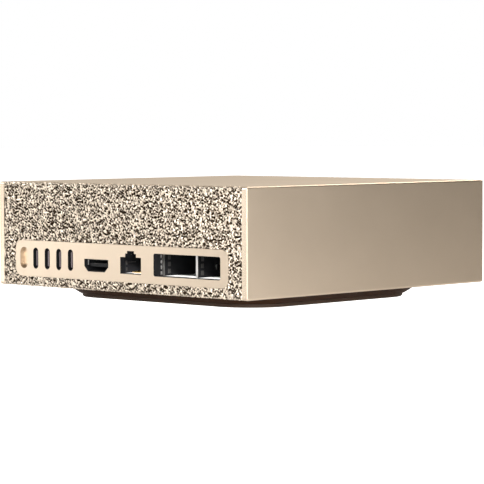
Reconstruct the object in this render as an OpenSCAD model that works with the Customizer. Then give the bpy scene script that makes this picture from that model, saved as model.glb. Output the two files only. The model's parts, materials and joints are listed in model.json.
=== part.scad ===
// Mini pc: a flat square case with foam metal end panels, a rear plate of ports,
// a lift-off base, and the board, cooler and two blowers inside.
// Millimetres. The origin is the centre of the foot's underside, +Z is up,
// the plain front faces -Y and the ports face +Y.

/* [Case] */
// Width of the case from side to side
case_w = 150; // [149:0.5:153]
// Depth of the case from front to rear
case_d = 150; // [150:0.5:153]
// Height of the case above its base
case_h = 45; // [45:0.5:48]
// Thickness of the side walls
wall = 2.8; // [2.4:0.1:3]
// Thickness of the roof
roof = 2.4; // [2:0.1:2.6]
// Rounding of the case's long outer edges
edge_r = 0.8; // [0.4:0.1:1.2]
// Thickness of the bottom plate
floor_t = 2; // [1.8:0.1:2]
// Thickness of the foam end panels
panel_t = 4; // [3:0.5:4]

/* [Base] */
// Height of the base with its foot
base_h = 5.5; // [5.5:0.1:6]
// Width of the foot's underside
foot_w = 115; // [105:1:118]
// Depth of the foot's underside
foot_d = 106.6; // [100:0.2:112]
// Corner radius of the foot
foot_r = 19.5; // [16:0.5:22]
// Thickness of the rubber foot
foot_t = 1.4; // [1.2:0.1:1.6]
// How far the base's edge flares out above the foot
flare = 4; // [3:0.5:5]

/* [Port plate] */
// Width of the port plate
io_w = 129.2; // [129:0.1:130]
// Height of the port plate
io_h = 15.5; // [15.3:0.1:15.7]
// Corner radius of the port plate
io_r = 3.8; // [3:0.1:4.5]
// Thickness of the port plate where it is full
io_t = 5.3; // [5.1:0.1:5.3]
// Thickness of the port plate in front of the small ports
io_web = 2.6; // [2.4:0.1:2.6]

/* [Power button] */
// Width of the button's slot
slot_w = 4.7; // [4.5:0.1:4.8]
// Height of the button's slot
slot_h = 9.2; // [9:0.1:9.4]
// How deep the button's face lies in its slot
button_sunk = 2; // [1.6:0.1:2.2]

/* [Cooler] */
// Radius of a blower's impeller
impeller_r = 25.4; // [24:0.2:25.6]
// Number of blades on an impeller
blades = 23; // [15:2:29]
// Number of fins in the stack
fins = 41; // [31:2:45]
// Number of heat pipes
pipes = 4; // [2:1:4]

/* [Hidden] */
$fn = 48;
gap = 0.1;                              // clearance between neighbouring pieces
half_w = case_w / 2;
half_d = case_d / 2;
inner_w = case_w - 2 * wall;
case_z = base_h;                        // underside of the case
roof_z = case_z + case_h - roof;        // underside of the roof
floor_z = case_z + floor_t;             // upper face of the bottom plate
panel_y = half_d - panel_t;             // inner face of the rear foam

post = 7;                               // corner posts that take the bottom screws
post_x = inner_w / 2 - post / 2;
post_y = 61.5;
magnet_x = 38;
magnet_y = 34;
magnet_r = 5;

board_w = 126;
board_t = 1.6;
board_y0 = -66;
board_z = case_z + 5.4;                 // underside of the board
top_z = board_z + board_t;              // upper face of the board
board_screws_at = [[-59.5, -62], [59.5, -62], [-59.5, 8], [59.5, 8], [-18.9, 60], [59.5, 50]];
leg_x = 58;                             // legs of the fan bracket
leg_ys = [-50, -6];

io_y = half_d - gap;                    // outer face of the port plate
io_back = io_y - io_t;
web_y = io_y - io_web;                  // inner face of the web in front of the small ports
board_y1 = io_back - 0.3;               // rear edge of the board
io_z = case_z + 12.05;                  // height of the port plate's centre
port_z = case_z + 12.25;                // height of the upright ports' centres
button_x = 59.2;
usb_x = 51.4;
usb_pitch = 7.45;
usb_w = 3.1;
usb_h = 8.9;
hdmi_x = 12.85;
hdmi_z = case_z + 10.55;
hdmi_w = 14.6;
hdmi_h = 5.1;
jack_x = -8.15;
jack_z = case_z + 7.7;                  // floor of the network jack's opening
jack_w = 15.4;
jack_y = 51;
cage_x = -41.6;                         // centre of the double cage
cage_z = case_z + 7.5;                  // floor of the cage
cage_w = 37.4;                          // inside width over both bays
cage_h = 9.4;
cage_wall = 1.2;
cage_y0 = 21;
bay_w = (cage_w - cage_wall) / 2;

chip_x = 8;                             // centre of the processor
chip_y = 2;
pipe_r = 2.4;
pipe_z = top_z + 8.3;
pipe_pitch = 6;
fin_z = pipe_z + pipe_r;                // underside of the fin stack
fin_h = 21.6;
fin_w = 116;
fin_y0 = 4;
fin_y1 = 50;

fan_x = 31.5;
fan_y = -31;
fan_w = 60;
fan_z = case_z + 20.5;                  // underside of a blower
fan_h = 13;
bracket_t = 1.4;
cell_x = -43.5;
cell_y = -46;
card_y = -49;
card_z = top_z + 2.7;                   // underside of the plug-in cards

usb_shells = [for (i = [1:4]) str("usb_c_shell_", i)];

// ---- shared shapes ----

// Rectangle with round corners, centred
module rounded_rect(w, d, r) {
    square([w - 2 * r, d], center = true);
    square([w, d - 2 * r], center = true);
    for (x = [-1, 1])
        for (y = [-1, 1])
            translate([x * (w / 2 - r), y * (d / 2 - r)]) circle(r);
}

// Upright slot with round ends, centred
module pill(w, h) {
    square([w, h - w], center = true);
    for (s = [-1, 1])
        translate([0, s * (h - w) / 2]) circle(w / 2);
}

// Slab with round corners whose sides lean outwards by run over its height
module flared_slab(w, d, r, h, run) {
    for (x = [-1, 1])
        for (y = [-1, 1])
            translate([x * (w / 2 - r), y * (d / 2 - r), 0]) cylinder(h = h, r1 = r, r2 = r + run);
    rotate([90, 0, 90])
        linear_extrude(height = w - 2 * r, center = true) flare_profile(d, h, run);
    rotate([90, 0, 0])
        linear_extrude(height = d - 2 * r, center = true) flare_profile(w, h, run);
}

module flare_profile(w, h, run) {
    polygon([[-w / 2, 0], [w / 2, 0], [w / 2 + run, h], [-w / 2 - run, h]]);
}

// A drawing in X and Z, made solid from y0 to y1
module upright(y0, y1) {
    translate([0, y1, 0])
        rotate([90, 0, 0]) linear_extrude(height = y1 - y0) children();
}

// Copies at a list of [x, y] places
module at_places(places) {
    for (p = places)
        translate([p[0], p[1], 0]) children();
}

function corners(x, y, w, d) = [for (i = [-1, 1], j = [-1, 1]) [x + i * w, y + j * d]];

// Round bar from a to b
module bar(a, b, r) {
    v = b - a;
    translate(a)
        rotate([0, acos(v[2] / norm(v)), atan2(v[1], v[0])]) cylinder(h = norm(v), r = r);
}

// Screw with its head's seat at seat_z, pointing down, or up with up = true
module screw(seat_z, length, head_r, head_h, up = false) {
    translate([0, 0, seat_z])
        mirror([0, 0, up ? 1 : 0])
            difference() {
                union() {
                    cylinder(h = head_h, r = head_r);
                    translate([0, 0, -length]) cylinder(h = length, r = 1.2);
                }
                translate([0, 0, head_h - 0.7]) cylinder(h = 1, r = 1.1, $fn = 6);
            }
}

// ---- case ----

// Outer form of the case, with every edge rounded
module case_form() {
    translate([0, 0, case_z + case_h / 2])
        intersection() {
            rotate([90, 0, 0])
                linear_extrude(height = case_d, center = true) rounded_rect(case_w, case_h, edge_r);
            rotate([90, 0, 90])
                linear_extrude(height = case_w, center = true) rounded_rect(case_d, case_h, 1.2);
            linear_extrude(height = case_h, center = true) rounded_rect(case_w, case_d, 0.5);
        }
}

module corner_post() {
    difference() {
        translate([-post / 2 - 0.5, -post / 2, floor_z + gap])
            cube([post + 0.5, post, roof_z - floor_z]);
        translate([0, 0, floor_z]) cylinder(h = 10, r = 1.25);
    }
}

module shell() {
    color("wheat") {
        difference() {
            case_form();
            translate([-inner_w / 2, -half_d - 1, case_z - 1])
                cube([inner_w, case_d + 2, case_h - roof + 1]);
            for (s = [-1, 1])
                translate([-inner_w / 2, s * half_d - panel_t, roof_z - 1])
                    cube([inner_w, 2 * panel_t, roof + 2]);
        }
        for (y = [-post_y, post_y]) {
            translate([-post_x, y, 0]) corner_post();
            translate([post_x, y, 0]) mirror([1, 0, 0]) corner_post();
        }
    }
}

module foam_panel() {
    color("burlywood")
        intersection() {
            case_form();
            translate([-inner_w / 2 + gap, panel_y + gap, case_z - 1])
                cube([inner_w - 2 * gap, panel_t, case_h + 2]);
        }
}

module rear_foam_panel() {
    difference() {
        foam_panel();
        upright(panel_y - 1, half_d + 1)
            translate([0, io_z]) rounded_rect(io_w + 2 * gap, io_h + 2 * gap, io_r + gap);
    }
}

module front_foam_panel() {
    mirror([0, 1, 0]) foam_panel();
}

module bottom_plate() {
    color("wheat")
        difference() {
            translate([0, 0, case_z])
                linear_extrude(height = floor_t) rounded_rect(inner_w - 4 * gap, 2 * panel_y - 2 * gap, 1);
            at_places(corners(0, 0, post_x, post_y)) {
                translate([0, 0, case_z - 1]) cylinder(h = floor_t + 2, r = 1.5);
                translate([0, 0, case_z - 1]) cylinder(h = 2.1, r = 2.9);
            }
            at_places(corners(0, 0, magnet_x, magnet_y))
                translate([0, 0, case_z - 1]) cylinder(h = 2, r = magnet_r + gap);
        }
}

module bottom_screws() {
    color("dimgray")
        at_places(corners(0, 0, post_x, post_y)) screw(case_z + 1.1, 8, 2.6, 1, up = true);
}

module catch_discs() {
    color("silver")
        at_places(corners(0, 0, magnet_x, magnet_y))
            translate([0, 0, case_z + gap]) cylinder(h = 0.9, r = magnet_r);
}

// ---- lift-off base ----

module base_plate() {
    flare_h = 2.5;
    neck = 0.2;
    rim_z = foot_t + neck + flare_h;
    color("saddlebrown")
        difference() {
            union() {
                translate([0, 0, foot_t])
                    linear_extrude(height = neck) rounded_rect(foot_w - 2, foot_d - 2, foot_r - 1);
                translate([0, 0, foot_t + neck])
                    flared_slab(foot_w + 2, foot_d + 2.2, foot_r + 1, flare_h, flare);
                translate([0, 0, rim_z])
                    linear_extrude(height = base_h - gap - rim_z)
                        rounded_rect(foot_w + 2 + 2 * flare, foot_d + 2.2 + 2 * flare,
                                     foot_r + 1 + flare);
            }
            at_places(corners(0, 0, magnet_x, magnet_y))
                translate([0, 0, base_h - 2.3]) cylinder(h = 3, r = magnet_r + gap);
        }
}

module foot_pad() {
    chamfer = 0.5;
    color("black") {
        flared_slab(foot_w - 2 * chamfer, foot_d - 2 * chamfer, foot_r - chamfer, chamfer, chamfer);
        translate([0, 0, chamfer])
            linear_extrude(height = foot_t - chamfer) rounded_rect(foot_w, foot_d, foot_r);
    }
}

module base_magnets() {
    color("silver")
        at_places(corners(0, 0, magnet_x, magnet_y))
            translate([0, 0, base_h - 2.3]) cylinder(h = 2, r = magnet_r);
}

// ---- port plate and power button ----

// HDMI's outline: a bar with its two lower corners cut off
module hdmi_outline(grow) {
    w = hdmi_w / 2 + grow;
    h = hdmi_h / 2 + grow;
    translate([hdmi_x, hdmi_z])
        polygon([[-w + 2.2, -h], [w - 2.2, -h], [w, -h + 2.2], [w, h], [-w, h], [-w, -h + 2.2]]);
}

// Network jack's outline: the plug's body with the latch's two steps above it
module jack_outline(grow) {
    translate([jack_x, jack_z]) {
        translate([-6.15 - grow, 0.2 - grow]) square([12.3 + 2 * grow, 6.8 + 2 * grow]);
        translate([-3.15 - grow, 1]) square([6.3 + 2 * grow, 7.5 + grow]);
        translate([-1.95 - grow, 1]) square([3.9 + 2 * grow, 8.6 + grow]);
    }
}

// Double cage's opening
module cage_outline() {
    translate([-41, cage_z + cage_h / 2]) rounded_rect(38.4, cage_h, 0.9);
}

module pocket(x0, x1, z0, z1) {
    upright(io_back - 1, web_y)
        translate([x0, case_z + z0]) square([x1 - x0, z1 - z0]);
}

module io_plate() {
    flange_t = 1.2;
    color("wheat")
        difference() {
            union() {
                upright(io_back, io_y) translate([0, io_z]) rounded_rect(io_w, io_h, io_r);
                upright(io_back, io_back + flange_t)
                    translate([0, io_z]) rounded_rect(io_w + 3.6, io_h + 3.2, 3);
            }
            pocket(24, 63, 6, 18.6);
            pocket(4.4, 21.4, 6, 18.6);
            pocket(-16.8, 0.5, 6, 18.9);
            upright(io_back - 1, io_y + 1) {
                translate([button_x, port_z]) pill(slot_w, slot_h);
                for (i = [0:3])
                    translate([usb_x - i * usb_pitch, port_z]) pill(usb_w + 2 * gap, usb_h + 2 * gap);
                hdmi_outline(gap);
                jack_outline(gap);
                cage_outline();
            }
        }
}

module power_button() {
    face_y = io_y - button_sunk;
    color("wheat") {
        upright(web_y - 1, face_y)
            translate([button_x, port_z]) pill(slot_w - 2 * gap, slot_h - 2 * gap);
        upright(web_y - 1.2, web_y - gap)
            translate([button_x, port_z]) pill(6.2, 10.8);
    }
}

module power_switch() {
    color("dimgray") {
        translate([button_x - 3, 63, top_z]) cube([6, board_y1 - 63 - 0.8, port_z - top_z + 2]);
        upright(63, board_y1 + 0.2) translate([button_x, port_z]) circle(1.2);
    }
}

// ---- ports ----

module usb_c_shell(i) {
    back = 64.5;
    front = io_y - 0.6;
    x = usb_x - i * usb_pitch;
    color("silver") {
        difference() {
            upright(back, front) translate([x, port_z]) pill(usb_w, usb_h);
            upright(back + 0.3, front + 1) translate([x, port_z]) pill(usb_w - 0.6, usb_h - 0.6);
        }
        translate([x - 0.8, back, top_z]) cube([1.6, 4, port_z - usb_h / 2 - top_z + 0.2]);
    }
}

module usb_c_tongues() {
    back = 64.9;
    color("black")
        for (i = [0:3])
            translate([usb_x - i * usb_pitch, 0, 0]) {
                upright(back, back + 2.3) translate([0, port_z]) pill(usb_w - 0.7, usb_h - 0.7);
                upright(back + 2, io_y - 1.2) translate([0, port_z]) square([0.7, 6.7], center = true);
            }
}

module hdmi_shell() {
    back = 63.4;
    front = io_y - 0.5;
    color("silver") {
        difference() {
            upright(back, front) hdmi_outline(0);
            upright(back + 0.3, front + 1) hdmi_outline(-0.3);
        }
        for (x = [hdmi_x - 3, hdmi_x + 3])
            translate([x - 0.8, back, top_z]) cube([1.6, 5, hdmi_z - hdmi_h / 2 - top_z + 0.2]);
    }
}

module hdmi_tongue() {
    back = 63.8;
    color("black") {
        upright(back, back + 2) hdmi_outline(-0.4);
        upright(back + 1.8, io_y - 1.6) translate([hdmi_x, hdmi_z + 0.1]) square([10.8, 1.2], center = true);
    }
}

module ethernet_body() {
    top = case_z + 18.1;
    color("black")
        difference() {
            translate([jack_x - jack_w / 2, jack_y, top_z + 0.05])
                cube([jack_w, web_y - gap - jack_y, top - top_z - 0.05]);
            upright(59, web_y + 1) jack_outline(-0.1);
        }
}

module ethernet_shield() {
    t = 0.3;
    top = case_z + 18.1 + 0.05;
    outer_w = jack_w + 0.1 + 2 * t;
    color("silver")
        difference() {
            translate([jack_x - outer_w / 2, jack_y - 0.05 - t, top_z])
                cube([outer_w, web_y - gap - jack_y + 0.05 + t, top + t - top_z]);
            translate([jack_x - jack_w / 2 - 0.05, jack_y - 0.05, top_z - 1])
                cube([jack_w + 0.1, web_y, top - top_z + 1]);
        }
}

module ethernet_contacts() {
    pitch = 1.02;
    color("gold")
        for (i = [0:7])
            bar([jack_x + (i - 3.5) * pitch, 59.3, jack_z + 1.75],
                [jack_x + (i - 3.5) * pitch, 70.5, jack_z + 0.65], 0.22);
}

module qsfp_cage() {
    outer_w = cage_w + 2 * cage_wall;
    bottom = cage_z - 0.4;
    front = io_back - gap;
    color("silver")
        difference() {
            translate([cage_x - outer_w / 2, cage_y0, bottom])
                cube([outer_w, front - cage_y0, cage_h + 0.9]);
            for (s = [-1, 1])
                translate([cage_x + s * (bay_w + cage_wall) / 2 - bay_w / 2, cage_y0 + 0.5, cage_z])
                    cube([bay_w, case_d, cage_h]);
        }
}

// Board connector at the end of a bay, with the slot that takes the module's edge
module qsfp_connector(side) {
    x = cage_x + side * (bay_w + cage_wall) / 2;
    color("dimgray")
        difference() {
            translate([x - 8.5, cage_y0 + 1, cage_z + 0.1]) cube([17, 8, 6.4]);
            translate([x - 7.2, cage_y0 + 4, cage_z + 3]) cube([14.4, 6, 1.4]);
        }
}

module qsfp_connector_left() {
    qsfp_connector(-1);
}

module qsfp_connector_right() {
    qsfp_connector(1);
}

// ---- mainboard ----

module mainboard() {
    color("darkgreen")
        difference() {
            translate([-board_w / 2, board_y0, board_z]) cube([board_w, board_y1 - board_y0, board_t]);
            at_places(board_screws_at) translate([0, 0, board_z - 1]) cylinder(h = 4, r = 1.5);
            at_places([for (x = [-leg_x, leg_x], y = leg_ys) [x, y]])
                translate([0, 0, board_z - 1]) cylinder(h = 4, r = 1.4);
            at_places(corners(chip_x, chip_y, 24.5, 21))
                translate([0, 0, board_z - 1]) cylinder(h = 4, r = 1.4);
        }
}

module standoff(z, h, r) {
    translate([0, 0, z])
        difference() {
            cylinder(h = h, r = r);
            translate([0, 0, -1]) cylinder(h = h + 2, r = 1.25);
        }
}

module board_standoffs() {
    color("goldenrod") {
        at_places(board_screws_at) standoff(floor_z, board_z - floor_z, 2.5);
        at_places([[8, card_y], [1, card_y]]) standoff(top_z, card_z - top_z, 2);
    }
}

module board_screws() {
    color("silver") at_places(board_screws_at) screw(top_z, 4.4, 2.3, 1.4);
}

module processor_substrate() {
    color("darkolivegreen") translate([chip_x - 20, chip_y - 20, top_z]) cube([40, 40, 1.2]);
}

module processor_dies() {
    color("slategray")
        for (part = [[-16, 20], [5.5, 11]])
            translate([chip_x + part[0], chip_y - 12, top_z + 1.2]) cube([part[1], 24, 0.8]);
}

module memory_packages() {
    color("black")
        for (x = [chip_x - 32.5, chip_x + 32.5])
            for (row = [0:3])
                translate([x - 5, -29.65 + 12.6 * row, top_z]) cube([10, 11.5, 1]);
}

module network_chip() {
    color("black") translate([-49, -4, top_z]) cube([16, 16, 1.4]);
}

module power_chokes() {
    color("gray")
        for (i = [0:5])
            translate([-17 + 8.5 * i, -33.75, top_z]) cube([6.5, 6.5, 4]);
}

module coin_cell_holder() {
    color("black")
        translate([cell_x, cell_y, top_z])
            difference() {
                cylinder(h = 2.8, r = 11.3);
                translate([0, 0, 0.6]) cylinder(h = 3, r = 10.1);
            }
}

module coin_cell() {
    color("silver") translate([cell_x, cell_y, top_z + 0.65]) cylinder(h = 3.2, r = 10);
}

// Plug-in card lying along X, with a half-round notch for its screw
module card(x0, x1, notch_x, width) {
    difference() {
        translate([x0, card_y - width / 2, card_z]) cube([x1 - x0, width, 0.8]);
        translate([notch_x, card_y, card_z - 1]) cylinder(h = 3, r = 1.75);
    }
}

module ssd_card() {
    color("darkgreen") card(8, 50, 8, 22);
    color("black")
        for (x = [13, 25, 37])
            translate([x, card_y - 9, card_z + 0.8]) cube([9.5, 18, 1.2]);
}

module wifi_card() {
    color("darkgreen") card(-29, 1, 1, 22);
    color("silver") translate([-25, card_y - 3, card_z + 0.8]) cube([20, 12, 1.6]);
    color("gold")
        for (x = [-20, -12])
            translate([x, card_y - 8, card_z + 0.8]) cylinder(h = 0.9, r = 1);
}

// Socket whose slot takes a card's edge from the +X side, or the -X side when mirrored
module card_socket(x, side) {
    color("black")
        translate([x, card_y - 11.5, top_z])
            mirror([side, 0, 0])
                difference() {
                    cube([5.5, 23, 4.2]);
                    translate([3, 0.4, card_z - top_z - 0.05]) cube([3, 22.2, 0.9]);
                }
}

module ssd_socket() {
    card_socket(53.1, 1);
}

module wifi_socket() {
    card_socket(-32.1, 0);
}

module card_screws() {
    color("silver") at_places([[8, card_y], [1, card_y]]) screw(card_z + 0.8, 3, 2.4, 0.9);
}

module antenna(x) {
    color("gold") translate([x - 15, -panel_y + 1.4, roof_z - 6.1]) cube([30, 0.8, 6.1]);
}

module antenna_left() {
    antenna(-45);
}

module antenna_right() {
    antenna(45);
}

// Leads that run down behind the front panel and back under the blowers
module antenna_leads() {
    r = 0.6;
    y0 = -panel_y + 1.8;
    y1 = card_y - 8;
    color("dimgray")
        for (run = [[-45, -20, top_z + 7.5], [45, -12, top_z + 9.5]]) {
            path = [[run[0], y0, roof_z - 6.2], [run[0], y0, run[2]], [run[1], y0, run[2]],
                    [run[1], y1, run[2]], [run[1], y1, card_z + 1.8]];
            for (k = [0:3])
                bar(path[k], path[k + 1], r);
            for (k = [1:3])
                translate(path[k]) sphere(r);
        }
}

// ---- cooler ----

function pipe_xs() = [for (i = [0:pipes - 1]) chip_x + (i - (pipes - 1) / 2) * pipe_pitch];

module pipe_grooves(y0, y1) {
    for (x = pipe_xs())
        translate([x, y1, pipe_z]) rotate([90, 0, 0]) cylinder(h = y1 - y0, r = pipe_r + 0.02);
}

module cold_plate() {
    base_z = top_z + 2.1;
    base_t = 3.4;
    color("peru")
        difference() {
            union() {
                translate([chip_x - 27, chip_y - 24, base_z]) cube([54, 48, base_t]);
                translate([chip_x - 13, chip_y - 24, base_z]) cube([26, 48, pipe_z - base_z]);
            }
            at_places(corners(chip_x, chip_y, 24.5, 21))
                translate([0, 0, base_z - 1]) cylinder(h = 6, r = 1.4);
            pipe_grooves(chip_y - 25, chip_y + 25);
        }
}

module cooler_backplate() {
    color("silver")
        difference() {
            translate([chip_x - 28, chip_y - 25, board_z - 1.2]) cube([56, 50, 1.2]);
            translate([chip_x - 15, chip_y - 15, board_z - 2]) cube([30, 30, 3]);
            at_places(corners(chip_x, chip_y, 24.5, 21))
                translate([0, 0, board_z - 2]) cylinder(h = 3, r = 1.25);
        }
}

module cooler_screws() {
    color("dimgray")
        at_places(corners(chip_x, chip_y, 24.5, 21)) screw(top_z + 5.5, 8.2, 2.3, 1.6);
}

module heat_pipes() {
    y0 = chip_y - 19;
    y1 = fin_y1 - 4;
    color("peru")
        for (x = pipe_xs()) {
            bar([x, y0, pipe_z], [x, y1, pipe_z], pipe_r);
            for (y = [y0, y1])
                translate([x, y, pipe_z]) sphere(pipe_r);
        }
}

module fin_stack() {
    fin_t = 0.5;
    pitch = (fin_w - fin_t) / (fins - 1);
    color("silver")
        difference() {
            union() {
                translate([-fin_w / 2, fin_y0, fin_z]) cube([fin_w, fin_y1 - fin_y0, 1]);
                translate([-fin_w / 2, fin_y0, fin_z + fin_h - 0.6]) cube([fin_w, fin_y1 - fin_y0, 0.6]);
                translate([chip_x - 13, chip_y + 24.5, pipe_z])
                    cube([26, fin_y1 - chip_y - 24.5, pipe_r + 0.5]);
                for (i = [0:fins - 1])
                    translate([-fin_w / 2 + i * pitch, fin_y0, fin_z + 0.5])
                        cube([fin_t, fin_y1 - fin_y0, fin_h - 0.8]);
            }
            pipe_grooves(fin_y0 - 1, fin_y1 + 1);
        }
}

module fan_bracket() {
    plate_z = fan_z - bracket_t;
    color("dimgray")
        difference() {
            union() {
                translate([-62, -62, plate_z]) cube([124, 64, bracket_t]);
                at_places([for (x = [-leg_x, leg_x], y = leg_ys) [x, y]])
                    translate([0, 0, top_z]) cylinder(h = plate_z - top_z + 0.5, r = 2.5);
            }
            for (x = [-fan_x, fan_x])
                translate([x, fan_y, plate_z - 1]) cylinder(h = 4, r = 17);
            at_places([for (x = [-leg_x, leg_x], y = leg_ys) [x, y]])
                translate([0, 0, top_z - 1]) cylinder(h = 8, r = 1.25);
            for (x = [-fan_x, fan_x])
                at_places(corners(x, fan_y, 26.5, 26.5))
                    translate([0, 0, plate_z - 1]) cylinder(h = 4, r = 1.25);
        }
}

module bracket_screws() {
    color("silver")
        at_places([for (x = [-leg_x, leg_x], y = leg_ys) [x, y]]) screw(board_z, 7, 2.4, 1.2, up = true);
}

module fan_screws() {
    color("dimgray")
        for (x = [-fan_x, fan_x])
            at_places(corners(x, fan_y, 26.5, 26.5)) screw(fan_z + fan_h + 1, fan_h + 2, 2.3, 1.2);
}

// ---- blowers, drawn round the impeller's axis with z = 0 at the housing's underside ----

module place_fan(side) {
    translate([side * fan_x, fan_y, fan_z]) children();
}

module fan_corner_holes() {
    at_places(corners(0, 0, 26.5, 26.5)) translate([0, 0, -1]) cylinder(h = fan_h + 4, r = 1.3);
}

// Open-topped housing with its outlet towards the fins and a bearing post
module fan_housing() {
    floor = 1.2;
    color("black") {
        difference() {
            linear_extrude(height = fan_h) rounded_rect(fan_w, fan_w, 4);
            translate([0, 0, floor]) cylinder(h = fan_h, r = impeller_r + 0.8);
            translate([-22, 0, floor]) cube([44, fan_w, fan_h]);
            for (k = [0:5])
                rotate([0, 0, 30 + 60 * k]) translate([13.5, 0, -1]) cylinder(h = 3, r = 3);
            fan_corner_holes();
        }
        difference() {
            translate([0, 0, floor - 0.5]) cylinder(h = 9.3, r = 3.6);
            translate([0, 0, floor + 0.3]) cylinder(h = 10, r = 1.56);
        }
    }
}

module fan_cover() {
    color("black")
        translate([0, 0, fan_h])
            difference() {
                linear_extrude(height = 1) rounded_rect(fan_w, fan_w, 4);
                translate([0, 0, -1]) cylinder(h = 3, r = 18.5);
                fan_corner_holes();
            }
}

// Motor core on the bearing post: a ring with nine poles
module fan_stator() {
    color("peru")
        translate([0, 0, 2.4])
            linear_extrude(height = 5.5)
                difference() {
                    union() {
                        circle(5.4);
                        for (k = [0:8])
                            rotate(40 * k) {
                                translate([4, -0.8]) square([4.6, 1.6]);
                                translate([7.6, -1.7]) square([1.4, 3.4]);
                            }
                    }
                    circle(3.65);
                }
}

// Cup over the stator, a shaft that runs in the post, and leaning blades
module fan_impeller() {
    hub_r = 11.5;
    color("dimgray") {
        difference() {
            translate([0, 0, 2]) cylinder(h = 10, r = hub_r);
            translate([0, 0, 1]) cylinder(h = 9.6, r = hub_r - 1.6);
        }
        translate([0, 0, 2]) cylinder(h = 9, r = 1.5);
        difference() {
            translate([0, 0, 2]) cylinder(h = 0.8, r = impeller_r);
            translate([0, 0, 1]) cylinder(h = 3, r = hub_r - 0.5);
        }
        for (k = [0:blades - 1])
            rotate([0, 0, 360 / blades * k])
                translate([hub_r - 0.6, 0, 2.4])
                    rotate([0, 0, -20])
                        translate([0, -0.3, 0]) cube([impeller_r - hub_r, 0.6, 9]);
    }
}

module fan_left_housing() {
    place_fan(-1) fan_housing();
}

module fan_left_cover() {
    place_fan(-1) fan_cover();
}

module fan_left_stator() {
    place_fan(-1) fan_stator();
}

module fan_left_impeller() {
    place_fan(-1) fan_impeller();
}

module fan_right_housing() {
    place_fan(1) fan_housing();
}

module fan_right_cover() {
    place_fan(1) fan_cover();
}

module fan_right_stator() {
    place_fan(1) fan_stator();
}

module fan_right_impeller() {
    place_fan(1) mirror([1, 0, 0]) fan_impeller();
}

// ---- nodes ----

shell();
bottom_plate();
bottom_screws();
rear_foam_panel();
front_foam_panel();
io_plate();
power_button();
power_switch();
base_plate();
foot_pad();
base_magnets();
catch_discs();
mainboard();
board_standoffs();
board_screws();
processor_substrate();
processor_dies();
memory_packages();
network_chip();
power_chokes();
coin_cell_holder();
coin_cell();
ssd_card();
ssd_socket();
wifi_card();
wifi_socket();
card_screws();
antenna_left();
antenna_right();
antenna_leads();
for (i = [0:3])
    usb_c_shell(i);
usb_c_tongues();
hdmi_shell();
hdmi_tongue();
ethernet_body();
ethernet_shield();
ethernet_contacts();
qsfp_cage();
qsfp_connector_left();
qsfp_connector_right();
cold_plate();
cooler_backplate();
cooler_screws();
heat_pipes();
fin_stack();
fan_bracket();
bracket_screws();
fan_screws();
fan_left_housing();
fan_left_cover();
fan_left_stator();
fan_left_impeller();
fan_right_housing();
fan_right_cover();
fan_right_stator();
fan_right_impeller();
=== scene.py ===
"""Looks of the mini pc: real foam panels, finishes for every part, a studio and its camera."""
import json
import math

import bmesh
import bpy
import numpy as np
from mathutils import Euler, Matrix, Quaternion, Vector


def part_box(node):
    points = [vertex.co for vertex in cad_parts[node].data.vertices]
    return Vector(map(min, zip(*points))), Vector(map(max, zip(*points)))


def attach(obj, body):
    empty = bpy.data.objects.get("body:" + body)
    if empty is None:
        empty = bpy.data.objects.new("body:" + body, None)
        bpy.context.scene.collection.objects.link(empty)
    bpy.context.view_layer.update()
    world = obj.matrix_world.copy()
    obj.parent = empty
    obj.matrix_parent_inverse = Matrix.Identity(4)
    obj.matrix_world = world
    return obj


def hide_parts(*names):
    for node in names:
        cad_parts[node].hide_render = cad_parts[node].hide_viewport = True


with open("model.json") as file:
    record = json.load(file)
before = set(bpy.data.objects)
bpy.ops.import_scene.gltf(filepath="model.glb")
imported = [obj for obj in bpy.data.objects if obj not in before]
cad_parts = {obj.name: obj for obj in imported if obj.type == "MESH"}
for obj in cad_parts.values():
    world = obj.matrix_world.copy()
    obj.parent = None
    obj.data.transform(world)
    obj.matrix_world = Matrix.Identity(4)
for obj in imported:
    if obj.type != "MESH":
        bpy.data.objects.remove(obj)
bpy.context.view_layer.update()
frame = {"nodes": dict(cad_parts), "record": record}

MM = 0.001
nodes = frame["nodes"]


# ---- camera ----

VIEW_AZIMUTH = 223.956
VIEW_ELEVATION = 2.898
VIEW_ROLL = -0.185
VIEW_DISTANCE = 1014.3 * MM
AIM = Vector((0, 0, 23.51 * MM))
LENS = 171.75


def direction(azimuth, elevation):
    """Unit vector from the object towards a viewer at that azimuth and elevation, in degrees."""
    a, e = math.radians(azimuth), math.radians(elevation)
    return Vector((math.sin(a) * math.cos(e), -math.cos(a) * math.cos(e), math.sin(e)))


def make_camera():
    back = direction(VIEW_AZIMUTH, VIEW_ELEVATION)
    data = bpy.data.cameras.new("camera")
    data.lens = LENS
    data.clip_start = 0.05
    data.clip_end = 50
    camera = bpy.data.objects.new("camera", data)
    camera.rotation_mode = "QUATERNION"
    camera.location = AIM + back * VIEW_DISTANCE
    roll = Quaternion(back, math.radians(VIEW_ROLL))
    camera.rotation_quaternion = roll @ (-back).to_track_quat("-Z", "Y")
    bpy.context.scene.collection.objects.link(camera)
    bpy.context.scene.camera = camera


make_camera()


# ---- node helpers ----

def new_material(name):
    material = bpy.data.materials.new(name)
    material.use_nodes = True
    return material, material.node_tree, material.node_tree.nodes["Principled BSDF"]


def add(tree, kind, **settings):
    """A new node. Settings named after an input set it, and the others set the node's own property."""
    made = tree.nodes.new("ShaderNode" + kind)
    for key, value in settings.items():
        socket = key.replace("_", " ")
        if socket in made.inputs:
            made.inputs[socket].default_value = value
        else:
            setattr(made, key, value)
    return made


def object_coordinates(tree):
    return add(tree, "TexCoord").outputs["Object"]


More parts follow.
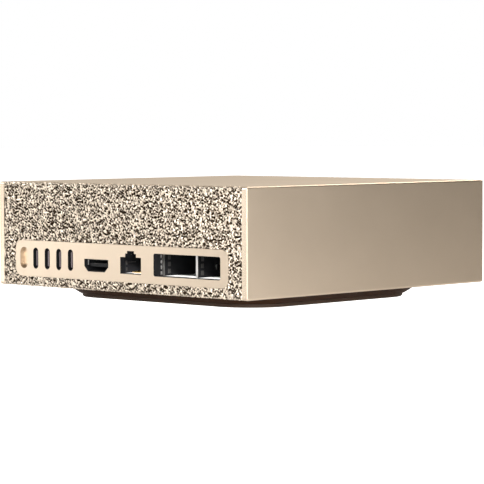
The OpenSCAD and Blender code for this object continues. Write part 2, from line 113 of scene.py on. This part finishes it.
def noise(tree, scale, detail=3, roughness=0.55, stretch=None):
    """Noise in the part's own space, with scale in features per metre."""
    texture = add(tree, "TexNoise", Scale=scale, Detail=detail, Roughness=roughness)
    place = object_coordinates(tree)
    if stretch:
        mapping = add(tree, "Mapping", Scale=stretch)
        tree.links.new(place, mapping.inputs["Vector"])
        place = mapping.outputs["Vector"]
    tree.links.new(place, texture.inputs["Vector"])
    return texture.outputs["Fac"]


def spread(tree, value, low, high, steps=(0.3, 0.7)):
    """Maps a value from steps to low..high, as a float."""
    mapped = add(tree, "MapRange", From_Min=steps[0], From_Max=steps[1], To_Min=low, To_Max=high)
    tree.links.new(value, mapped.inputs["Value"])
    return mapped.outputs["Result"]


def blend(tree, value, dark, light, steps=(0.3, 0.7)):
    """A colour between dark and light, as value goes over steps."""
    ramp = add(tree, "ValToRGB")
    for element, place, colour in zip(ramp.color_ramp.elements, steps, (dark, light)):
        element.position = place
        element.color = (*colour, 1)
    tree.links.new(value, ramp.inputs["Fac"])
    return ramp.outputs["Color"]


def add_bump(tree, shader, height, distance, strength=1.0):
    """Bump whose full height is distance, in metres."""
    bump = add(tree, "Bump", Distance=distance, Strength=strength)
    tree.links.new(height, bump.inputs["Height"])
    tree.links.new(bump.outputs["Normal"], shader.inputs["Normal"])


def surface(name, dark, light, rough, metallic=0.0, grain=3000, depth=0.01 * MM, mottle=60,
            **shader_values):
    """A solid finish: a mottled colour, uneven roughness and a fine grain in relief."""
    material, tree, shader = new_material(name)
    shader.inputs["Metallic"].default_value = metallic
    for key, value in shader_values.items():
        shader.inputs[key.replace("_", " ")].default_value = value
    clouds = noise(tree, mottle)
    tree.links.new(blend(tree, clouds, dark, light), shader.inputs["Base Color"])
    fine = noise(tree, grain, detail=2)
    tree.links.new(spread(tree, fine, *rough), shader.inputs["Roughness"])
    add_bump(tree, shader, fine, depth)
    return material


# ---- finishes ----

CHAMPAGNE_DARK = (0.66, 0.55, 0.43)
CHAMPAGNE_LIGHT = (0.70, 0.585, 0.46)
STRUT_DARK = (0.86, 0.745, 0.61)
STRUT_LIGHT = (0.92, 0.80, 0.66)


def champagne_metal():
    return surface("champagne_metal", CHAMPAGNE_DARK, CHAMPAGNE_LIGHT, (0.38, 0.48), metallic=1.0,
                   grain=5200, depth=0.006 * MM, mottle=25)


def foam_metal():
    """Bright struts, with painted shade in the pores that gets darker the deeper they are."""
    material, tree, shader = new_material("foam_metal")
    shader.inputs["Metallic"].default_value = 1.0
    depth = add(tree, "Attribute", attribute_name="depth").outputs["Fac"]
    tint = blend(tree, noise(tree, 120), STRUT_DARK, STRUT_LIGHT)
    # painted shade: the colour goes from the struts' tint to near-black with depth into the pores
    shade = add(tree, "Mix", data_type="RGBA")
    tree.links.new(spread(tree, depth, 0, 1, (0.07, 0.46)), shade.inputs[0])
    tree.links.new(tint, shade.inputs[6])
    shade.inputs[7].default_value = (0.05, 0.033, 0.02, 1)
    tree.links.new(shade.outputs[2], shader.inputs["Base Color"])
    fine = noise(tree, 2600, detail=2)
    tree.links.new(spread(tree, fine, 0.36, 0.5), shader.inputs["Roughness"])
    add_bump(tree, shader, fine, 0.02 * MM)
    return material


finishes = {
    "champagne_metal": champagne_metal(),
    "foam_metal": foam_metal(),
    "base_plastic": surface("base_plastic", (0.022, 0.0072, 0.0012), (0.028, 0.0098, 0.002), (0.5, 0.65),
                            grain=3500, depth=0.012 * MM, Specular_IOR_Level=0.08),
    "foot_rubber": surface("foot_rubber", (0.034, 0.019, 0.011), (0.042, 0.025, 0.015), (0.6, 0.75),
                           grain=2500, depth=0.015 * MM, Specular_IOR_Level=0.25),
    "magnet_metal": surface("magnet_metal", (0.62, 0.62, 0.63), (0.70, 0.70, 0.71), (0.16, 0.26),
                            metallic=1.0),
    "steel": surface("steel", (0.50, 0.50, 0.50), (0.58, 0.58, 0.57), (0.28, 0.42), metallic=1.0),
    "black_steel": surface("black_steel", (0.022, 0.022, 0.024), (0.035, 0.035, 0.037), (0.4, 0.55),
                           metallic=0.6),
    "port_metal": surface("port_metal", (0.60, 0.59, 0.57), (0.68, 0.67, 0.65), (0.28, 0.40),
                          metallic=1.0),
    "port_plastic": surface("port_plastic", (0.006, 0.006, 0.007), (0.010, 0.010, 0.011), (0.45, 0.6),
                            Specular_IOR_Level=0.2),
    "contact_gold": surface("contact_gold", (0.78, 0.52, 0.20), (0.86, 0.60, 0.26), (0.2, 0.3),
                            metallic=1.0),
    "brass": surface("brass", (0.60, 0.42, 0.16), (0.68, 0.49, 0.20), (0.25, 0.38), metallic=1.0),
    "board_laminate": surface("board_laminate", (0.004, 0.030, 0.014), (0.006, 0.040, 0.020),
                              (0.28, 0.4), mottle=300),
    "chip_resin": surface("chip_resin", (0.010, 0.010, 0.011), (0.016, 0.016, 0.017), (0.5, 0.65)),
    "silicon": surface("silicon", (0.10, 0.11, 0.13), (0.14, 0.15, 0.17), (0.08, 0.14), metallic=0.8),
    "ferrite": surface("ferrite", (0.045, 0.045, 0.05), (0.07, 0.07, 0.075), (0.55, 0.7)),
    "copper": surface("copper", (0.70, 0.32, 0.18), (0.78, 0.39, 0.24), (0.22, 0.36), metallic=1.0),
    "fin_metal": surface("fin_metal", (0.70, 0.71, 0.72), (0.78, 0.79, 0.80), (0.25, 0.36),
                         metallic=1.0),
    "fan_plastic": surface("fan_plastic", (0.012, 0.012, 0.013), (0.020, 0.020, 0.021), (0.4, 0.55)),
    "lead_sheath": surface("lead_sheath", (0.012, 0.012, 0.012), (0.02, 0.02, 0.02), (0.35, 0.5)),
    # finishes for single faces and for pieces made below
    "bright_cut": surface("bright_cut", CHAMPAGNE_DARK, CHAMPAGNE_LIGHT, (0.18, 0.24), metallic=1.0,
                          grain=6000, depth=0.002 * MM, mottle=25),
    # painted shade: the case's upright edges get a darker copy of the champagne colour, which dims their
    # highlight; they are also rougher
    "rough_edge_painted_shade": surface("rough_edge_painted_shade", (0.50, 0.42, 0.33), (0.54, 0.45, 0.355), (0.62, 0.7), metallic=1.0,
                         grain=5200, depth=0.006 * MM, mottle=25),
    "port_floor": surface("port_floor", (0.80, 0.79, 0.77), (0.88, 0.87, 0.85), (0.3, 0.4)),
    # painted shade: near-black for the cage's walls and roof inside the double bay
    "cage_inside_painted_shade": surface("cage_inside_painted_shade", (0.004, 0.004, 0.0045), (0.007, 0.007, 0.0075), (0.4, 0.5),
                           Specular_IOR_Level=0.15),
    "dim_metal": surface("dim_metal", (0.05, 0.048, 0.045), (0.08, 0.077, 0.072), (0.4, 0.5),
                         metallic=0.7),
    "tongue_tip": surface("tongue_tip", (0.045, 0.034, 0.036), (0.062, 0.048, 0.05), (0.35, 0.45)),
}


def dress(piece, material):
    piece.data.materials.clear()
    piece.data.materials.append(material)


for row in frame["record"]["subparts"]:
    dress(nodes[row["node"]], finishes[row["material_slot"]])


def accent(node, name, chosen):
    """A second finish on the CAD faces for which chosen(centre, normal), in mm, is true."""
    mesh = nodes[node].data
    mesh.materials.append(finishes[name])
    for face in mesh.polygons:
        if chosen(face.center / MM, face.normal):
            face.material_index = len(mesh.materials) - 1


def wall_end(c, n):
    """The cut ends of the case's side walls."""
    return abs(n.y) > 0.99 and abs(c.y) > 74.9


def upright_edge(c, n):
    """The rounded upright edges of the case."""
    return abs(n.z) < 0.2 and min(abs(n.x), abs(n.y)) > 0.08 and min(abs(c.x), abs(c.y)) > 73


def port_jamb(c, n):
    """The thickness of the port plate, seen inside its openings."""
    return abs(n.y) < 0.9 and 69.7 < c.y < 74.8 and -61 < c.x < 54 and 11 < c.z < 24


def port_bottom(c, n):
    """The upward faces at the bottom of the double bay and of the network jack."""
    return n.z > 0.9 and 12.5 < c.z < 14


accent("shell", "bright_cut", wall_end)
# painted shade: the upright edges are painted darker than the rest of the case, and rougher
accent("shell", "rough_edge_painted_shade", upright_edge)
# painted shade: the plate's metal faces inside the port openings are painted near-black
accent("io_plate", "port_plastic", port_jamb)
# painted shade: the port shells are painted near-black as the shade inside the slots
for shell in ("usb_c_shell_1", "usb_c_shell_2", "usb_c_shell_3", "usb_c_shell_4", "hdmi_shell"):
    dress(nodes[shell], finishes["port_plastic"])
# painted shade: the cage's walls and roof inside the bay are painted near-black
accent("qsfp_cage", "cage_inside_painted_shade", lambda c, n: abs(n.y) < 0.5 and n.z < 0.5)
for socket in ("qsfp_cage", "ethernet_body", "ethernet_shield"):
    accent(socket, "port_floor", port_bottom)


# ---- foam panels ----

CELL = 0.97          # spacing of the pores, mm
PORE = 0.61          # radius of a pore, as a share of the spacing
STRAY = 0.6          # how far pores stray from an even grid, in spacings
TURN = np.array(Euler((0.5, 0.4, 0.65)).to_matrix())    # the grid's turn, so that no row of it shows
STEP = 0.285         # spacing of the surface's points, mm
PORE_DEPTH = 1.5     # how far one sees into the pores, mm
EDGE_DEPTH = 0.7     # the same at the rounded edges, mm
EDGE_ROUND = 0.9     # rounding of the panel's long edges, mm
EDGE_BLEND = 2.0     # over which the pores get from EDGE_DEPTH to PORE_DEPTH, mm
SAMPLES = 12         # points looked at along each line into the foam


def nearest_pore(places, seed):
    """Distance from each place to its nearest pore centre, all in pore spacings."""
    home = np.floor(places).astype(int)
    low = home.reshape(3, -1).min(1) - 1
    high = home.reshape(3, -1).max(1) + 2
    shift = STRAY * (np.random.default_rng(seed).random((3, *(high - low)), dtype=np.float32) - 0.5)
    nearest = np.full(places.shape[1:], np.inf, np.float32)
    for step in np.ndindex(3, 3, 3):
        cell = home + np.array(step).reshape(3, 1, 1, 1) - 1
        i, j, k = cell - low.reshape(3, 1, 1, 1)
        centre = cell + 0.5 + shift[:, i, j, k]
        nearest = np.minimum(nearest, ((places - centre) ** 2).sum(0))
    return np.sqrt(nearest)


def round_box(across, up, half_w, half_h, radius):
    """Signed distance to a rectangle with round corners."""
    dx = np.abs(across) - half_w + radius
    dz = np.abs(up) - half_h + radius
    outside = np.hypot(np.maximum(dx, 0), np.maximum(dz, 0))
    return outside + np.minimum(np.maximum(dx, dz), 0) - radius


def panel_outline(low_z, high_z, thick):
    """Points round a panel's bottom, face and top: how far behind the face, how high, and the way out."""
    r = EDGE_ROUND
    short = np.linspace(thick, r, max(2, round((thick - r) / STEP)), endpoint=False)
    turn = np.linspace(-np.pi / 2, 0, max(3, round(r * np.pi / 2 / STEP)), endpoint=False)
    face = np.linspace(low_z + r, high_z - r, round((high_z - low_z - 2 * r) / STEP), endpoint=False)
    up = turn + np.pi / 2
    ones = np.ones_like
    behind = np.concatenate([short, r - r * np.cos(turn), 0 * face, r - r * np.cos(up), [r], short[::-1]])
    height = np.concatenate([low_z + 0 * short, low_z + r + r * np.sin(turn), face,
                             high_z - r + r * np.sin(up), [high_z], high_z + 0 * short])
    angle = np.concatenate([-np.pi / 2 * ones(short), turn, 0 * face, up, [np.pi / 2],
                            np.pi / 2 * ones(short)])
    return behind, height, np.cos(angle), np.sin(angle)


def foam_surface(width, behind, height, out, up, seed):
    """Points and depths of a foam's surface, seen straight in from the outline."""
    across = np.linspace(-width / 2, width / 2, round(width / STEP) + 1)
    corner = np.minimum(np.hypot(behind, height - height.min()), np.hypot(behind, height.max() - height))
    reach = EDGE_DEPTH + (PORE_DEPTH - EDGE_DEPTH) * np.clip((corner - EDGE_ROUND) / EDGE_BLEND, 0, 1)
    along = np.linspace(0, 1, SAMPLES)[:, None, None] * reach
    places = np.broadcast_arrays(across[:, None], behind + along * out, height - along * up)
    turned = np.einsum("ij,jkmn->ikmn", TURN, np.stack(places)).astype(np.float32)
    open_space = PORE - nearest_pore(turned / CELL, seed)
    blocked = open_space < 0
    hit = np.where(blocked.any(0), blocked.argmax(0), SAMPLES - 1)
    before = np.maximum(hit - 1, 0)
    f0 = np.take_along_axis(open_space, before[None], 0)[0]
    f1 = np.take_along_axis(open_space, hit[None], 0)[0]
    part = np.where((f0 > 0) & (f1 < 0), f0 / np.maximum(f0 - f1, 1e-6), 1)
    share = np.where(hit > 0, before + part, 0) / (SAMPLES - 1)
    depth = share * reach
    x = np.broadcast_to(across[:, None], depth.shape)
    return np.stack([x, behind + depth * out, height - depth * up], -1), depth / PORE_DEPTH


def mesh_piece(name, points, quads, smooth=True):
    """An object from points in metres and quads of point numbers."""
    mesh = bpy.data.meshes.new(name)
    mesh.vertices.add(len(points))
    mesh.vertices.foreach_set("co", np.asarray(points, np.float32).ravel())
    mesh.loops.add(quads.size)
    mesh.loops.foreach_set("vertex_index", quads.astype(np.int32).ravel())
    mesh.polygons.add(len(quads))
    mesh.polygons.foreach_set("loop_start", np.arange(0, quads.size, 4, dtype=np.int32))
    mesh.polygons.foreach_set("use_smooth", np.full(len(quads), smooth))
    mesh.update(calc_edges=True)
    piece = bpy.data.objects.new(name, mesh)
    bpy.context.scene.collection.objects.link(piece)
    return piece


def edge_walls(quads, points, thick, face_rows):
    """Quads that close the foam's open ends and the port opening, back to the panel's inner face."""
    edges = np.concatenate([quads[:, [n, (n + 1) % 4]] for n in range(4)])
    _, first, times = np.unique(np.sort(edges, 1), axis=0, return_index=True, return_counts=True)
    rim = edges[first[times == 1]]
    rim = rim[face_rows[rim].all(1)]
    used, renumbered = np.unique(rim, return_inverse=True)
    back = points[used].copy()
    back[:, 1] = thick
    renumbered = renumbered.reshape(-1, 2) + len(points)
    walls = np.stack([rim[:, 1], rim[:, 0], renumbered[:, 0], renumbered[:, 1]], 1)
    return back, walls


def foam_panel(node, outward, seed, opening=None):
    """Open-cell foam in the place of a CAD panel, flush with its outer face."""
    low, high = [np.array(c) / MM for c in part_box(node)]
    thick = high[1] - low[1]
    outline = panel_outline(low[2], high[2], thick)
    surface_points, depth = foam_surface(high[0] - low[0], *outline, seed)
    shape = depth.shape
    points = surface_points.reshape(-1, 3)
    points[:, 0] += (low[0] + high[0]) / 2
    depth = depth.ravel()
    on_face = np.broadcast_to(outline[3] ** 2 < 0.99, shape).ravel()
    number = np.arange(len(points)).reshape(shape)
    quads = np.stack([number[:-1, :-1], number[1:, :-1], number[1:, 1:], number[:-1, 1:]], -1)
    quads = quads.reshape(-1, 4)
    if opening:
        x, z, half_w, half_h, radius = opening
        off = round_box(points[:, 0] - x, points[:, 2] - z, half_w, half_h, radius)
        quads = quads[(off[quads] > 0).any(1)]
        slope = 0.01
        gx = (round_box(points[:, 0] + slope - x, points[:, 2] - z, half_w, half_h, radius) - off) / slope
        gz = (round_box(points[:, 0] - x, points[:, 2] + slope - z, half_w, half_h, radius) - off) / slope
        inside = off < 0
        points[inside, 0] -= (off * gx)[inside]
        points[inside, 2] -= (off * gz)[inside]
    back, walls = edge_walls(quads, points, thick, on_face)
    points = np.concatenate([points, back])
    # painted shade: the walls that close the foam get the full depth, so they are painted near-black
    depth = np.concatenate([depth, np.ones(len(back))])
    quads = np.concatenate([quads, walls])
    kept, renumbered = np.unique(quads, return_inverse=True)
    points, depth, quads = points[kept], depth[kept], renumbered.reshape(-1, 4)
    points[:, 1] = (high[1] - points[:, 1]) if outward > 0 else (low[1] + points[:, 1])
    piece = mesh_piece(node + "_pores", points * MM, quads[:, ::-1] if outward > 0 else quads)
    # the depth attribute carries the painted shade of the pores into foam_metal
    shade = piece.data.attributes.new("depth", "FLOAT", "POINT")
    shade.data.foreach_set("value", depth.astype(np.float32))
    dress(piece, finishes["foam_metal"])
    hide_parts(node)
    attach(piece, "case")


plate_low, plate_high = [Vector(c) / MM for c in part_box("io_plate")]
FLANGE = (1.8, 1.6)  # how far the plate's hidden flange stands out beyond its face, mm
PLATE_CORNER = 3.8   # corner radius of its face, mm
GAP = 0.1            # between the plate's face and the foam, mm
io_opening = ((plate_low.x + plate_high.x) / 2, (plate_low.z + plate_high.z) / 2,
              (plate_high.x - plate_low.x) / 2 - FLANGE[0] + GAP,
              (plate_high.z - plate_low.z) / 2 - FLANGE[1] + GAP, PLATE_CORNER + GAP)
foam_panel("rear_foam_panel", outward=1, seed=5, opening=io_opening)
foam_panel("front_foam_panel", outward=-1, seed=9)


# ---- port details ----

# all in mm
OPENING_LEFT = -21.8         # side of the double bay's opening that the photo's camera looks at
OPENING_RIGHT = -60.2
BAY_FLOOR, BAY_ROOF = 13.0, 22.4
BAY_WALLS = (-22.9, -42.2)   # left faces of the two bays
FINGER_START = 69.52         # where the spring fingers leave the cage's front
FINGER_PITCH, FINGER_WIDTH, FINGER_LENGTH = 2.3, 1.7, 1.35
FINGER_SHEET, FINGER_BOW = 0.1, 0.32
FINGER_STEPS = 8
USB_C_FIRST, USB_C_PITCH, USB_C_HEIGHT = 51.4, 7.45, 17.75
HDMI_CONTACTS, HDMI_CONTACT_PITCH = 10, 1.0
port_parts = []


def finish_piece(name, builder, finish):
    """Makes a piece of the case out of a bmesh."""
    mesh = bpy.data.meshes.new(name)
    builder.to_mesh(mesh)
    builder.free()
    piece = bpy.data.objects.new(name, mesh)
    bpy.context.scene.collection.objects.link(piece)
    dress(piece, finishes[finish])
    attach(piece, "case")
    port_parts.append(piece)


def bars(name, finish, rows, rounding=0.06):
    """One piece of bevelled bars, each given as its centre and size in mm."""
    builder = bmesh.new()
    for centre, size in rows:
        made = bmesh.ops.create_cube(builder, size=MM)["verts"]
        bmesh.ops.scale(builder, vec=size, verts=made)
        bmesh.ops.translate(builder, vec=Vector(centre) * MM, verts=made)
        edges = list({e for v in made for e in v.link_edges})
        bmesh.ops.bevel(builder, geom=edges, offset=rounding * MM, segments=2, profile=0.5,
                        affect="EDGES")
    finish_piece(name, builder, finish)


def spring_fingers():
    """Thin bowed strips all round the double bay's opening, between the port plate and the cage."""
    builder = bmesh.new()

    def finger(start, inward, along):
        rings = []
        for n in range(FINGER_STEPS + 1):
            t = n / FINGER_STEPS
            bow = 0.05 + FINGER_BOW * math.sin(math.pi * t)
            place = start + Vector((0, FINGER_LENGTH * t, 0)) + inward * bow
            half = along * FINGER_WIDTH * (1 - 0.25 * t * t) / 2
            sheet = inward * FINGER_SHEET
            rings.append([builder.verts.new(corner * MM) for corner in
                          (place - half, place + half, place + half + sheet, place - half + sheet)])
        for before, after in zip(rings, rings[1:]):
            for n in range(4):
                builder.faces.new((before[n], before[(n + 1) % 4], after[(n + 1) % 4], after[n]))
        builder.faces.new(rings[0][::-1])
        builder.faces.new(rings[-1])

    for n in range(4):
        z = BAY_FLOOR + 1.25 + FINGER_PITCH * n
        finger(Vector((OPENING_LEFT, FINGER_START, z)), Vector((-1, 0, 0)), Vector((0, 0, 1)))
        finger(Vector((OPENING_RIGHT, FINGER_START, z)), Vector((1, 0, 0)), Vector((0, 0, 1)))
    for n in range(16):
        x = OPENING_LEFT - 1.95 - FINGER_PITCH * n
        finger(Vector((x, FINGER_START, BAY_ROOF)), Vector((0, 0, -1)), Vector((1, 0, 0)))
    bmesh.ops.recalc_face_normals(builder, faces=builder.faces)
    finish_piece("qsfp_spring_fingers", builder, "dim_metal")


spring_fingers()
bars("qsfp_wall_tabs", "dim_metal",
     [((x - 0.12, 67.0, z), (0.24, 1.5, 1.8)) for x in BAY_WALLS for z in (14.9, 17.8, 20.6)])
bars("qsfp_wall_rivets", "port_metal",
     [((BAY_WALLS[1] - 0.1, 55.7, 13.7 + 2.2 * n), (0.2, 0.6, 0.5)) for n in range(4)]
     + [((BAY_WALLS[1] - 0.1, 58.8, 17.0), (0.2, 0.5, 2.0))])
bars("usb_c_tongue_tips", "tongue_tip",
     [((USB_C_FIRST - USB_C_PITCH * n, 73.95, USB_C_HEIGHT), (0.72, 0.7, 6.5)) for n in range(4)],
     rounding=0.15)
bars("hdmi_spring_tab", "port_metal",
     [((19.76, 73.0, 17.2), (0.15, 0.5, 2.3))], rounding=0.04)
bars("hdmi_contacts", "dim_metal",
     [((8.35 + HDMI_CONTACT_PITCH * n, 72.2, 16.82), (0.42, 2.1, 0.12)) for n in range(HDMI_CONTACTS)],
     rounding=0.03)
bars("ethernet_spring_tabs", "dim_metal",
     [((-2.2, 71.5, 17.7), (0.18, 0.8, 1.7)), ((-2.2, 71.5, 15.1), (0.18, 0.8, 1.3)),
      ((-2.18, 68.5, 17.9), (0.14, 4.6, 0.4)), ((-5.18, 71.6, 21.4), (0.16, 0.6, 0.6))],
     rounding=0.04)


# ---- studio ----

FLOOR_LEVEL = -12.5 * MM    # just below the base at the end of its pull, so that it never hides the base
FLOOR_REACH = 6             # m
FLOOR_GLOW = 0.12           # light the floor gives the object
FLOOR_GLOW_SEEN = 1.0       # and what it shows the camera, so that its shadows stay pale


def make_floor():
    material, tree, shader = new_material("floor_white")
    shader.inputs["Base Color"].default_value = (0.9, 0.9, 0.9, 1)
    shader.inputs["Roughness"].default_value = 0.7
    shader.inputs["Emission Color"].default_value = (1, 1, 1, 1)
    seen = add(tree, "LightPath").outputs["Is Camera Ray"]
    glow = spread(tree, seen, FLOOR_GLOW, FLOOR_GLOW_SEEN, (0, 1))
    tree.links.new(glow, shader.inputs["Emission Strength"])
    r = FLOOR_REACH
    points = [(x, y, FLOOR_LEVEL) for x, y in ((-r, -r), (r, -r), (r, r), (-r, r))]
    floor = mesh_piece("floor", np.array(points), np.array([[0, 1, 2, 3]]), smooth=False)
    dress(floor, material)


def make_world():
    """White behind the object, and round it a dark studio with a pale far left and a dim ceiling."""
    world = bpy.data.worlds.new("studio")
    world.use_nodes = True
    tree = world.node_tree
    studio = tree.nodes["Background"]
    outward = add(tree, "TexCoord").outputs["Generated"]

    def glow_toward(axis, strength, steps):
        toward = add(tree, "VectorMath", operation="DOT_PRODUCT")
        toward.inputs[1].default_value = axis
        tree.links.new(outward, toward.inputs[0])
        return spread(tree, toward.outputs["Value"], 0, strength, steps)

    total = add(tree, "Math", operation="ADD")
    tree.links.new(glow_toward((0.6, -0.8, 0), 0.9, (0.5, 1.0)), total.inputs[0])
    tree.links.new(glow_toward((0, 0, 1), 0.35, (0.4, 0.9)), total.inputs[1])
    tree.links.new(total.outputs["Value"], studio.inputs["Strength"])
    white = add(tree, "Background", Strength=1.0)
    white.inputs["Color"].default_value = (1, 1, 1, 1)
    studio.inputs["Color"].default_value = (1, 0.92, 0.81, 1)
    mix = add(tree, "MixShader")
    tree.links.new(add(tree, "LightPath").outputs["Is Camera Ray"], mix.inputs["Fac"])
    tree.links.new(studio.outputs["Background"], mix.inputs[1])
    tree.links.new(white.outputs["Background"], mix.inputs[2])
    tree.links.new(mix.outputs["Shader"], tree.nodes["World Output"].inputs["Surface"])
    bpy.context.scene.world = world


def panel_light(name, place, target, width, height, watts, colour=(1, 1, 1)):
    data = bpy.data.lights.new(name, "AREA")
    data.shape = "RECTANGLE"
    data.size, data.size_y = width, height
    data.energy = watts
    data.color = colour
    light = bpy.data.objects.new(name, data)
    light.location = place
    light.rotation_mode = "QUATERNION"
    light.rotation_quaternion = (Vector(target) - Vector(place)).to_track_quat("-Z", "Y")
    light.visible_camera = False
    bpy.context.scene.collection.objects.link(light)
    return light


def light_the_ports(light):
    """Keeps a light to the insides of the ports."""
    group = bpy.data.collections.new("port_parts")
    for part in [nodes["qsfp_cage"], nodes["ethernet_body"], nodes["ethernet_shield"], *port_parts]:
        group.objects.link(part)
    light.light_linking.receiver_collection = group


make_floor()
make_world()
for light_settings in (   # name, place, what it points at, width and height in m, watts, colour
        ("near_left", (0.20, 0.19, 0.035), (0.05, 0.075, 0.02), 0.14, 0.10, 0.052),
        ("far_left", (0.274, 0.435, 0.07), (-0.073, 0.075, 0.03), 0.12, 0.16, 0.08),
        ("rear_high", (0.32, 0.34, 0.32), (0.04, 0.07, 0.02), 0.12, 0.12, 1.5),
        ("side_low", (-0.27, 0.20, 0.05), (-0.075, 0.065, 0.01), 0.26, 0.12, 1.35),
        ("side", (-0.45, 0.02, 0.15), (-0.07, 0.04, 0.02), 0.30, 0.20, 0.30),
        ("front_high", (0, -0.50, 0.50), (0, 0, 0.04), 0.30, 0.20, 1.5, (1, 0.93, 0.84))):
    panel_light(*light_settings)
light_the_ports(panel_light("ports", (-0.30, 0.60, 0.43), (-0.03, 0.07, 0.02), 0.10, 0.10, 18.0))

bpy.context.scene.view_settings.view_transform = "Standard"
